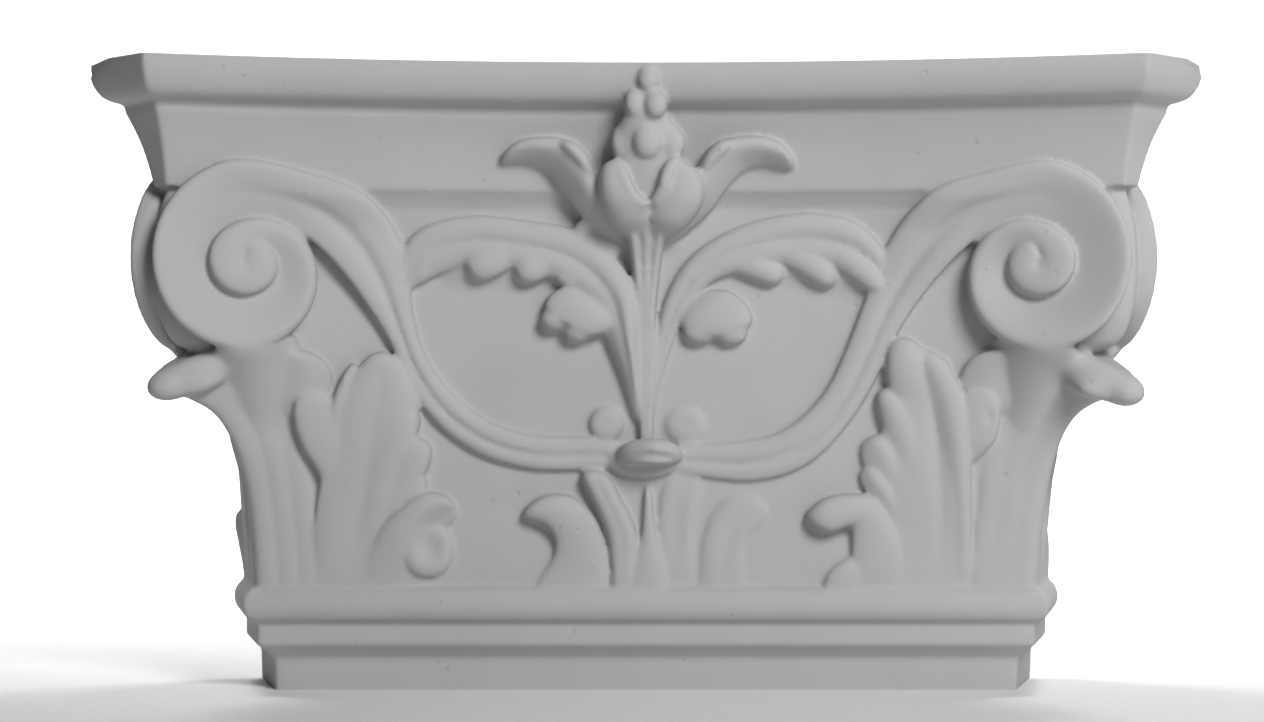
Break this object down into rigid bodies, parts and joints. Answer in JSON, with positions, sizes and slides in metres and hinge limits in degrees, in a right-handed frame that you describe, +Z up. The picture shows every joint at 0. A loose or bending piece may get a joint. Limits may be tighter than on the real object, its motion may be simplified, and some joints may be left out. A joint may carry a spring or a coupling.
{
  "type": "pilaster capital",
  "caption": "Plaster pilaster capital with corner volutes, acanthus leaves and a central flower, flat at the back, foot and top.",
  "frame": {"origin": "middle of the flat underside, which sits on the head of the pilaster shaft", "axes": "+X across the front to the viewer's right, -Y out of the wall towards the viewer, +Z up"},
  "size_m": [0.4197, 0.1118, 0.24],
  "materials": {
    "plaster": "matt cast plaster"
  },
  "bodies": {
    "root": {"capital": "plaster"}
  },
  "joints": []
}
